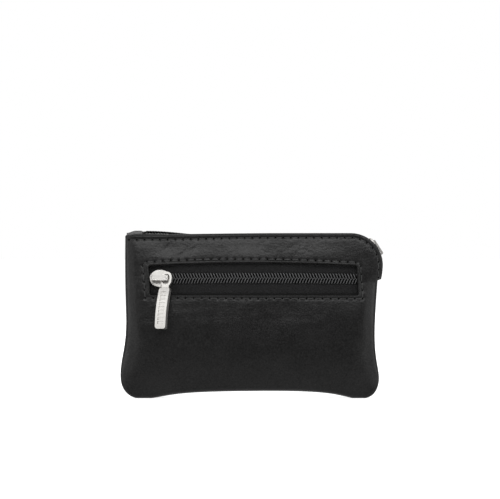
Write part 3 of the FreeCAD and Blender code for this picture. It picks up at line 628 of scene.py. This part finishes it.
class Panel:
    """One leather panel: where its outer face, edges, stitch holes and relief are."""

    def __init__(self, drop, rows, window):
        """drop is how much lower its top is; rows are pairs of a stitch line and its pitch."""
        self.edge = outline(drop)
        self.window = window_line() if window else None
        self.rows = [resampled(line, pitch) for line, pitch in rows]
        self.row_lines = [line for line, _ in rows]
        self.holes = np.concatenate(self.rows)
        normals = np.concatenate([normals_of(row, False) for row in self.rows])
        self.ways = -normals[:, ::-1] * (1.0, -1.0)
        self.seed = 11 if window else 37

    def from_hole(self, points):
        """Distance to the nearest stitch hole, in hole sizes."""
        tree = tree_of(self.holes)
        nearest = np.array([tree.find((x, 0.0, z))[1] for x, z in points])
        away, way = points - self.holes[nearest], self.ways[nearest]
        along = away[:, 0] * way[:, 0] + away[:, 1] * way[:, 1]
        across = away[:, 0] * way[:, 1] - away[:, 1] * way[:, 0]
        return np.hypot(along / PIT_LONG, across / PIT_WIDE)

    def relief(self, points):
        """Height of the leather's face above its plain filled shape."""
        near_row = np.full(len(points), 99.0)
        for line in self.row_lines:
            near_row = np.minimum(near_row, distance_to(points, line))
        height = -ROW_GROOVE * np.exp(-(near_row / 0.9) ** 2)
        hole = self.from_hole(points)
        height -= PIT_DEPTH * (1.0 - smooth_step((hole - PIT_FLOOR) / PIT_WALL))
        height -= 0.12 * np.exp(-(hole / 1.1) ** 2)
        edge = distance_to(points, self.edge, True)
        calm = smooth_step((edge - 1.0) / 6.0)
        height += SOFT_RELIEF * soft_noise(points, self.seed, 22, 14.0, 34.0, 1.5) * calm
        height += FINE_RELIEF * soft_noise(points, self.seed + 1, 26, 4.5, 9.0, 1.6) * calm
        height += TOP_SWELL * smooth_step((points[:, 1] - 76.8) / 3.4)
        quiet = smooth_step((near_row - 0.4) / 1.5) * calm
        height += creases(points, self.seed + 2, 12, (-50, 26, 68, 76), (15, 75), TOP_CREASE) * quiet
        height += creases(points, self.seed + 3, 12, (-40, 46, 24, 46), (-14, 14), FACE_CREASE) * quiet
        height += creases(points, self.seed + 4, 12, (-56, 56, 6, 24), (40, 140), FOOT_CREASE) * quiet
        if self.window is not None:
            lip = distance_to(points, self.window, True)
            height += LIP * np.exp(-((lip - 0.85) / 0.7) ** 2)
        return height

    def faces_at(self, points):
        """Distances of the outer and inner leather faces from the seam plane."""
        gap = half_gap(*points.T)
        edge = distance_to(points, self.edge, True)
        sewn = sewn_share(points)
        full = gap + LEATHER + self.relief(points) * smooth_step(edge / 1.2)
        free_out = gap + FREE_EDGE + (full - gap - FREE_EDGE) * edge_round(edge, FREE_ROUND)
        sewn_out = SEAM_GAP + (full - SEAM_GAP) * edge_round(edge, SEWN_ROUND)
        outer = free_out * (1 - sewn) + sewn_out * sewn
        free_in = gap + FREE_EDGE * (1.0 - edge_round(edge, 0.5))
        groove = SEAM_GAP - (SEAM_GAP - SEAM_GROOVE) * smooth_step(edge / 0.5)
        sewn_in = groove + (gap - groove) * smooth_step((edge - RIM) / 0.8)
        inner = free_in * (1 - sewn) + sewn_in * sewn
        if self.window is not None:
            lip = distance_to(points, self.window, True)
            low = gap - 0.15
            outer = low + (outer - low) * edge_round(lip, HEM_ROUND)
            hem = 1.0 - smooth_step((lip - HEM_WIDTH) / 0.8)
            inner = inner - HEM * hem * smooth_step(edge - RIM)
            inner = low + (inner - low) * edge_round(lip, 0.5)
        return outer, inner


def tree_of(plan):
    """Search tree over points of the XZ plane."""
    tree = kdtree.KDTree(len(plan))
    for i, (x, z) in enumerate(plan):
        tree.insert((x, 0.0, z), i)
    tree.balance()
    return tree


def rings_beside(line, towards, insets, thin_from):
    """Copies of a closed line moved along its normals, thinned out from a given distance on."""
    rings = []
    for inset in insets:
        ring = (line + towards * inset)[::1 if inset < thin_from else 2]
        rings.append(ring[distance_to(ring, line, True) > inset * 0.93])
    return rings


def pit_plan(panel):
    """The middle of every stitch pit and three rings of points round it."""
    ring = [(0.0, 0.0)]
    for radius, count, turn in ((0.22, 7, 0.0), (0.38, 9, 0.5), (0.54, 11, 0.0)):
        for i in range(count):
            a = 2.0 * math.pi * (i + turn) / count
            ring.append((radius * math.cos(a), radius * math.sin(a)))
    along, across = np.array(ring).T * ((PIT_LONG,), (PIT_WIDE,))
    ways = panel.ways[:, None]
    aside = ways[..., ::-1] * (1.0, -1.0)
    pits = panel.holes[:, None] + ways * along[None, :, None] + aside * across[None, :, None]
    return pits.reshape(-1, 2)


def beside_rows(panel):
    """Lines of points along the stitch rows, clear of the pits."""
    lines = []
    for line in panel.row_lines:
        middle = resampled(line, 0.62)
        normal = normals_of(middle, False)
        for side in (-1.1, -0.55, 0.0, 0.55, 1.1):
            beside = middle + normal * side
            clear = np.hypot(*(beside[:, None] - panel.holes[None]).transpose(2, 0, 1)).min(1) > 0.72
            lines.append(beside[clear])
    return lines


def panel_points(panel):
    """Points of the panel's plan: edges, lines beside them, stitch pits, and a plain grid."""
    fixed = [panel.edge]
    insets = (0.12, 0.3, 0.55, 0.9, 1.4, 2.0, 2.7, 3.4)
    fixed += rings_beside(panel.edge, normals_of(panel.edge, True), insets, 1.0)
    if panel.window is not None:
        fixed.append(panel.window)
        insets = (0.1, 0.25, 0.45, 0.7, 1.0, 1.5)
        fixed += rings_beside(panel.window, -normals_of(panel.window, True), insets, math.inf)
    fixed += beside_rows(panel)
    fixed.append(pit_plan(panel))
    fixed = np.concatenate(fixed)
    step, reach = 0.75, 62.6
    xs, zs = np.meshgrid(np.arange(-reach, reach + 0.1, step), np.arange(0.4, TOP_Z, step))
    xs = xs + (np.arange(len(xs)) % 2)[:, None] * step * 0.5
    grid = np.stack([xs.ravel(), zs.ravel()], 1)
    grid = grid[inside(grid, panel.edge)]
    tree = tree_of(fixed)
    clear = np.array([tree.find((x, 0.0, z))[2] for x, z in grid]) > 0.5
    return np.concatenate([fixed, grid[clear]])


def panel_plan(panel):
    """The panel's plan as anticlockwise triangles: its points, and three indices each."""
    plan = panel_points(panel)
    plan = plan[inside(plan, panel.edge) | (distance_to(plan, panel.edge, True) < 0.02)]
    if panel.window is not None:
        out = ~inside(plan, panel.window) | (distance_to(plan, panel.window, True) < 0.02)
        plan = plan[out]
    made = delaunay_2d_cdt([Vector(p) for p in plan], [], [], 0, 0.02)
    plan = np.array([tuple(v) for v in made[0]])
    triangles = np.array([f for f in made[2] if len(f) == 3])
    centre = plan[triangles].mean(1)
    keep = inside(centre, panel.edge)
    if panel.window is not None:
        keep &= ~inside(centre, panel.window)
    plan, triangles = only_used(plan, triangles[keep])
    a, b, c = plan[triangles[:, 0]], plan[triangles[:, 1]], plan[triangles[:, 2]]
    turn = (b[:, 0] - a[:, 0]) * (c[:, 1] - a[:, 1]) - (b[:, 1] - a[:, 1]) * (c[:, 0] - a[:, 0])
    triangles[turn < 0] = triangles[turn < 0][:, ::-1]
    return plan, triangles


def only_used(points, faces):
    """The points that the faces use, and the faces renumbered to them."""
    used = np.unique(faces)
    number = np.full(len(points), -1)
    number[used] = np.arange(len(used))
    return points[used], number[faces]


def border_points(triangles):
    """Points on an edge that only one triangle has."""
    edges = np.concatenate([triangles[:, [0, 1]], triangles[:, [1, 2]], triangles[:, [2, 0]]])
    _, first, count = np.unique(np.sort(edges, 1), axis=0, return_index=True, return_counts=True)
    return np.unique(edges[first[count == 1]])


def panel_mesh(panel, side):
    """Closed mesh of a panel: outer and inner faces that share their edge loops, and its pits."""
    plan, triangles = panel_plan(panel)
    outer, inner = panel.faces_at(plan)
    count = len(plan)
    under = np.arange(count) + count
    border = border_points(triangles)
    under[border] = border
    height = plan[:, 1] + top_sag(*plan.T)
    pits = 1.0 - smooth_step((panel.from_hole(plan) - 0.36) / 0.2)
    top = np.stack([plan[:, 0], side * outer, height, pits], 1)
    bottom = np.stack([plan[:, 0], side * inner, height, 0.0 * pits], 1)
    faces = np.concatenate([triangles, under[triangles][:, ::-1]])
    if side > 0:
        faces = faces[:, ::-1]
    points, faces = only_used(np.concatenate([top, bottom]), faces)
    return points[:, :3], faces, points[:, 3]


def stitches(rows, side):
    """Thread between the holes: it dives into each hole and lies on the leather between."""
    first, last = 0.11, 0.89
    climb = 0.9
    parts = []
    for holes in rows:
        for start, end in zip(holes[:-1], holes[1:]):
            t = np.concatenate([[first, 0.13], np.linspace(0.16, 0.84, 9), [0.87, last]])
            x, z = (start * (1 - t)[:, None] + end * t[:, None]).T
            rise = np.clip(np.minimum(t - first, last - t) / 0.1, 0.0, 1.0)
            rise = np.sqrt(rise * (2.0 - rise))
            y = half_gap(x, z) + LEATHER - PIT_DEPTH + climb * rise
            path = np.stack([x, side * y, z + top_sag(x, z)], 1)
            parts.append(tube(path, THREAD_R * (0.8 + 0.2 * rise), 8, (0.0, 1.0, 0.0)))
    return merged(parts)


def make_panel(panel, side, name, stands_for):
    """One panel's leather, with its stitch pits painted for the material."""
    points, faces, pits = panel_mesh(panel, side)
    piece = mesh_object(name, points, faces, LEATHER_SKIN, stands_for)
    paint(piece, "pit", pits)


def make_thread(rows, side, name, stands_for):
    """All the stitches of some rows as one piece."""
    points, faces = stitches(rows, side)
    mesh_object(name, points, faces, THREAD, stands_for)


def make_panels():
    front = Panel(0.0, [(top_row(0.0), TOP_PITCH), (window_row(), WINDOW_PITCH)], True)
    back = Panel(BACK_DROP, [(top_row(BACK_DROP), TOP_PITCH)], False)
    make_panel(front, -1, "front_leather", "front_panel")
    make_panel(back, 1, "back_leather", "back_panel")
    make_thread(front.rows[:1], -1, "top_thread_front", "top_stitches_front")
    make_thread(front.rows[1:], -1, "window_thread", "window_stitches")
    make_thread(back.rows, 1, "top_thread_back", "top_stitches_back")


# ------------------------------------------------------------------ zips
def front_zip_point(u, v, w):
    """From the front zip's frame: u along it, v up the tape, w outwards."""
    u, v, w = np.broadcast_arrays(u, v, w)
    return np.stack([u, FRONT_ZIP_Y + v * math.sin(TILT) - w * math.cos(TILT),
                     FRONT_ZIP_Z + v * math.cos(TILT) + w * math.sin(TILT)], -1)


def chain_bow(u):
    """The front chain isn't quite straight: it bows up between the slider's two end positions."""
    return CHAIN_BOW * (np.cos(math.pi * u / CHAIN_SPAN) - CHAIN_DROP)


def rounded_wave(wave, power):
    """A sine or cosine with fuller or sharper turns."""
    return np.sign(wave) * np.abs(wave) ** power


def coil(name, place, start, end, side, phase, lightness, stands_for):
    """One coil row: a filament wound round its filler cord, its turns leaning along the zip."""
    turns = int((end - start) / COIL_PITCH)
    steps, sides = 20, 8
    turned = np.arange(turns * steps + 1) / steps
    angle = turned * 2.0 * math.pi
    reach = rounded_wave(np.cos(angle), 0.7)
    lift = -rounded_wave(np.sin(angle), 0.8)
    u = start + COIL_PITCH * (turned + phase) + COIL_LEAN * reach
    v = side * (COIL_MIDDLE - COIL_REACH * reach)
    w = COIL_W + COIL_LIFT * lift
    path = place(u, v, w)
    thick = FILAMENT * (0.92 + 0.2 * np.clip(reach, 0.0, 1.0) ** 4 + 0.22 * lift)
    filament = tube(path, thick, sides, (0.31, 0.17, 0.93))

    # Painted light: the lighter share is highest where a filament faces outwards on its front turns, scaled
    # for the whole chain. The back turns and the filler cord get none and stay dark as painted shade.
    outwards = place(u, v, w + 1.0) - path
    ring = filament[0].reshape(-1, sides, 3) - path[:, None]
    facing = (ring * outwards[:, None]).sum(2) / thick[:, None]
    painted_light = lightness * smooth_step((facing - 0.05) / 0.8) * smooth_step((lift[:, None] + 0.3) / 1.1)

    u = np.arange(start, start + turns * COIL_PITCH + 1.0, 0.5)
    filler = tube(place(u, side * FILLER_V, FILLER_W), FILLER_R, sides, (0.31, 0.93, 0.17))
    points, faces = merged([filament, filler])
    piece = mesh_object(name, points, faces, NYLON, stands_for)
    paint(piece, "painted_light", np.concatenate([painted_light.ravel(), np.zeros(len(filler[0]))]))


def front_tape(side):
    """Woven tape with a corded line beside the coil and a sewn line outside it."""
    u = np.arange(-FRONT_TAPE_END, FRONT_TAPE_END + 0.01, 0.4)
    v = np.concatenate([np.arange(TAPE_INNER, 7.6, 0.2), np.arange(7.8, FRONT_TAPE_WIDE + 0.01, 0.6)])
    uu, vv = np.meshgrid(u, v)
    cord = 0.16 * np.exp(-((vv - 3.25) / 0.28) ** 2)
    sewn = 0.26 * np.exp(-((vv - 6.6) / 0.25) ** 2) * (0.5 + 0.5 * np.cos(2 * math.pi * uu / 1.3))
    ripple = 0.05 * np.sin(uu / 3.1 + 0.7 * side) * smooth_step((vv - 3.0) / 4.0)
    bow = chain_bow(uu) * smooth_step((8.0 - vv) / 6.0)
    grid = front_zip_point(uu, side * vv + bow, cord + sewn + ripple)
    return slab(grid[:, ::-side], TAPE)


def front_row(u, v, w):
    """From the front chain's own frame, which follows its bow."""
    return front_zip_point(u, v + chain_bow(u), w)


def make_tape(name, sheet, stands_for):
    points, faces = sheet
    mesh_object(name, points, faces, TAPE_CLOTH, stands_for)


def make_front_zip():
    for side, word in ((1, "upper"), (-1, "lower")):
        make_tape("front_tape_" + word, front_tape(side), "front_zip_tape_" + word)
        coil("front_coil_" + word, front_row, FRONT_COIL_START, FRONT_COIL_END, side, 0.5 * (side > 0), 1.0,
             "front_zip_coil_" + word)


def main_path():
    """The main zip's line in the XZ plane, from its left end to its lower right end."""
    x = np.arange(MAIN_LEFT, MAIN_RISE_X, SPACING)
    top = CORNER_Z + MAIN_TAPE_R
    side = CORNER_X + MAIN_TAPE_R
    rise = MAIN_RISE * smooth_step((MAIN_RISE_X - x) / MAIN_RISE_L)
    return joined(np.stack([x, top + rise], 1),
                  straight((MAIN_RISE_X, top), (CORNER_X, top)),
                  round_line((CORNER_X, CORNER_Z), MAIN_TAPE_R, 90, 0),
                  straight((side, CORNER_Z), (side, MAIN_END_Z)))


MAIN_LINE = resampled(main_path(), SPACING)
MAIN_STEP = steps_along(MAIN_LINE)
MAIN_NORMAL = normals_of(MAIN_LINE, False)


def main_point(u, v, w):
    """From the main zip's frame: u along its line, v across it (y), w outwards."""
    u, v, w = np.broadcast_arrays(u, v, w)
    x, z = (np.interp(u, MAIN_STEP, along) for along in MAIN_LINE.T)
    nx, nz = (np.interp(u, MAIN_STEP, along) for along in MAIN_NORMAL.T)
    return np.stack([x + w * nx, v, z + w * nz], -1)


def main_tape(side):
    """Tape from beside the chain out to its panel, then turned down inside the panel."""
    u = np.arange(0.6, MAIN_STEP[-1] - 0.05, 0.5)
    line = main_point(u, 0.0, 0.0)
    gap = half_gap(line[:, 0], line[:, 2])
    rows = []
    for share in np.linspace(0.0, 1.0, 24):
        across = TAPE_INNER + (gap - TAPE - TAPE_INNER) * share
        cord = 0.14 * np.exp(-((across - 3.2) / 0.3) ** 2)
        rows.append(main_point(u, side * across, cord))
    for share in np.linspace(0.08, 1.0, 10):
        down = -MAIN_TAPE_DOWN * share
        line = main_point(u, 0.0, down)
        rows.append(main_point(u, side * (half_gap(line[:, 0], line[:, 2]) - TAPE), down))
    return slab(np.array(rows)[:, ::-side], TAPE)


def make_main_zip():
    end = MAIN_STEP[-1] - MAIN_COIL_TAIL
    for side, word in ((-1, "front"), (1, "back")):
        make_tape("main_tape_" + word, main_tape(side), "main_zip_tape_" + word)
        # The main chain gets about a third of the front chain's painted light: painted shade, for it lies
        # in shadow along the top.
        coil("main_coil_" + word, main_point, MAIN_COIL_START, end, side, 0.5 * (side > 0), 0.35,
             "main_zip_coil_" + word)


def make_end_tab():
    """Leather tab folded over the main zip's left end: it slopes up from the left and ends round."""
    low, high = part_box("zip_end_tab")
    x0, x1 = low.x / MM, high.x / MM
    base, top = low.z / MM, high.z / MM
    half = (high.y - low.y) / MM / 2.0
    along, across = np.meshgrid(np.linspace(1.0, 0.0, 30), np.linspace(-1.0, 1.0, 33))
    slope, end_round, least = 0.55, 0.1, 0.05
    end = np.clip((along - 1.0 + end_round) / end_round, 0.0, 1.0)
    body = smooth_step(along / slope) * np.sqrt(1.0 - end ** 2)
    sides = np.sqrt(1.0 - np.abs(across) ** 8)
    height = base + least + (top - base - least) * body * sides
    crown = np.stack([x0 + (x1 - x0) * along, half * across, height], -1)
    foot = crown.copy()
    foot[..., 2] = base - LEATHER
    points, faces = between(crown, foot)
    # Painted light: the tab's grey colour stands for light falling on black leather.
    mesh_object("zip_end_leather", points, faces, LIT_TAB_SKIN, "zip_end_tab")


# ------------------------------------------------------------------ carried-over parts
def dress_cad_nodes():
    """Every CAD node that stays gets its own finish."""
    finishes = {"lining": LINING_CLOTH, "seam_stitches": THREAD, "stop": BLACK_METAL,
                "lock_spring": SPRING_STEEL, "slider_body": NICKEL, "bail": NICKEL, "pull": NICKEL}
    for name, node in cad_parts.items():
        for word, material in finishes.items():
            if word in name:
                node.data.materials.clear()
                node.data.materials.append(material)


# ------------------------------------------------------------------ studio
LIGHT_AIM = Vector((0.0, 0.0, 0.05))
FLOOR_REACH = 12.0
EYE_BACK, EYE_X, EYE_Z = 0.9, -0.00074, 0.07134  # the camera: metres from the seam plane, across and up
SEEN_WIDTH = 0.240                               # what it takes in at that distance


def area_light(name, place, size_x, size_y, power):
    """White soft box aimed at the purse's middle; metres and watts."""
    light = bpy.data.lights.new(name, "AREA")
    light.shape = "RECTANGLE"
    light.size, light.size_y = size_x, size_y
    light.energy = power
    lamp = bpy.data.objects.new(name, light)
    bpy.context.scene.collection.objects.link(lamp)
    lamp.location = place
    lamp.rotation_euler = (LIGHT_AIM - Vector(place)).to_track_quat("-Z", "Y").to_euler()


def make_floor():
    """Pale floor, lit from within a little so that it stays white far from the lamps."""
    material, nodes, links, shader, place = new_material("pale_floor")
    shader.inputs["Roughness"].default_value = 0.9
    shader.inputs["Specular IOR Level"].default_value = 0.1
    shader.inputs["Emission Color"].default_value = (1.0, 1.0, 1.0, 1.0)
    shader.inputs["Emission Strength"].default_value = 0.62
    tone = noise_node(nodes, links, place, 3.0, 2.0)
    links.new(ramp(nodes, links, tone, (0.9, 0.9, 0.9), (0.93, 0.93, 0.93)), shader.inputs["Base Color"])
    mesh = bpy.data.meshes.new("floor")
    r = FLOOR_REACH
    mesh.from_pydata([(-r, -r, 0), (r, -r, 0), (r, r, 0), (-r, r, 0)], [], [(0, 1, 2, 3)])
    mesh.materials.append(material)
    floor = bpy.data.objects.new("floor", mesh)
    bpy.context.scene.collection.objects.link(floor)
    floor.visible_glossy = False


def make_world():
    """White room: plain white where it is seen, and as a light darkest at eye height."""
    world = bpy.data.worlds.new("studio")
    bpy.context.scene.world = world
    world.use_nodes = True
    nodes, links = world.node_tree.nodes, world.node_tree.links
    seen = nodes["Background"]
    seen.inputs["Color"].default_value = (1.0, 1.0, 1.0, 1.0)
    seen.inputs["Strength"].default_value = 1.0
    place = nodes.new("ShaderNodeTexCoord")
    split = nodes.new("ShaderNodeSeparateXYZ")
    links.new(place.outputs["Generated"], split.inputs["Vector"])
    height = nodes.new("ShaderNodeValToRGB")
    stops = height.color_ramp.elements
    stops[0].color = (0.55, 0.55, 0.55, 1.0)
    stops[1].color = (0.75, 0.75, 0.75, 1.0)
    for position in (0.42, 0.5):
        stops.new(position).color = (0.14, 0.14, 0.14, 1.0)
    links.new(ranged(nodes, links, split.outputs["Z"], 0.0, 1.0, -0.6, 0.7), height.inputs["Fac"])
    lighting = nodes.new("ShaderNodeBackground")
    links.new(height.outputs["Color"], lighting.inputs["Color"])
    rays = nodes.new("ShaderNodeLightPath")
    mix = nodes.new("ShaderNodeMixShader")
    links.new(rays.outputs["Is Camera Ray"], mix.inputs["Fac"])
    links.new(lighting.outputs["Background"], mix.inputs[1])
    links.new(seen.outputs["Background"], mix.inputs[2])
    links.new(mix.outputs["Shader"], nodes["World Output"].inputs["Surface"])


def make_camera():
    """Level camera straight in front of the purse."""
    camera = bpy.data.cameras.new("camera")
    camera.sensor_width = 36.0
    camera.lens = camera.sensor_width * EYE_BACK / SEEN_WIDTH
    camera.clip_start, camera.clip_end = 0.05, 50.0
    eye = bpy.data.objects.new("camera", camera)
    bpy.context.scene.collection.objects.link(eye)
    eye.location = (EYE_X, SEAM_Y * MM - EYE_BACK, EYE_Z)
    eye.rotation_euler = (math.pi / 2.0, 0.0, 0.0)
    bpy.context.scene.camera = eye


def make_studio():
    make_floor()
    make_world()
    area_light("top_box", (0.0, -1.0, 0.72), 1.3, 0.4, 7.5)
    area_light("back_box", (0.0, 1.1, 0.6), 1.2, 0.5, 4.0)
    for side, word in ((-1.0, "left"), (1.0, "right")):
        area_light(word + "_card", (side * 0.78, -0.48, 0.15), 0.5, 1.0, 1.7)
        area_light(word + "_strip", (side * 0.9, 0.05, 0.15), 0.5, 0.6, 1.5)
    make_camera()
    bpy.context.scene.view_settings.view_transform = "Standard"


make_studio()
make_panels()
make_front_zip()
make_main_zip()
make_end_tab()
dress_cad_nodes()
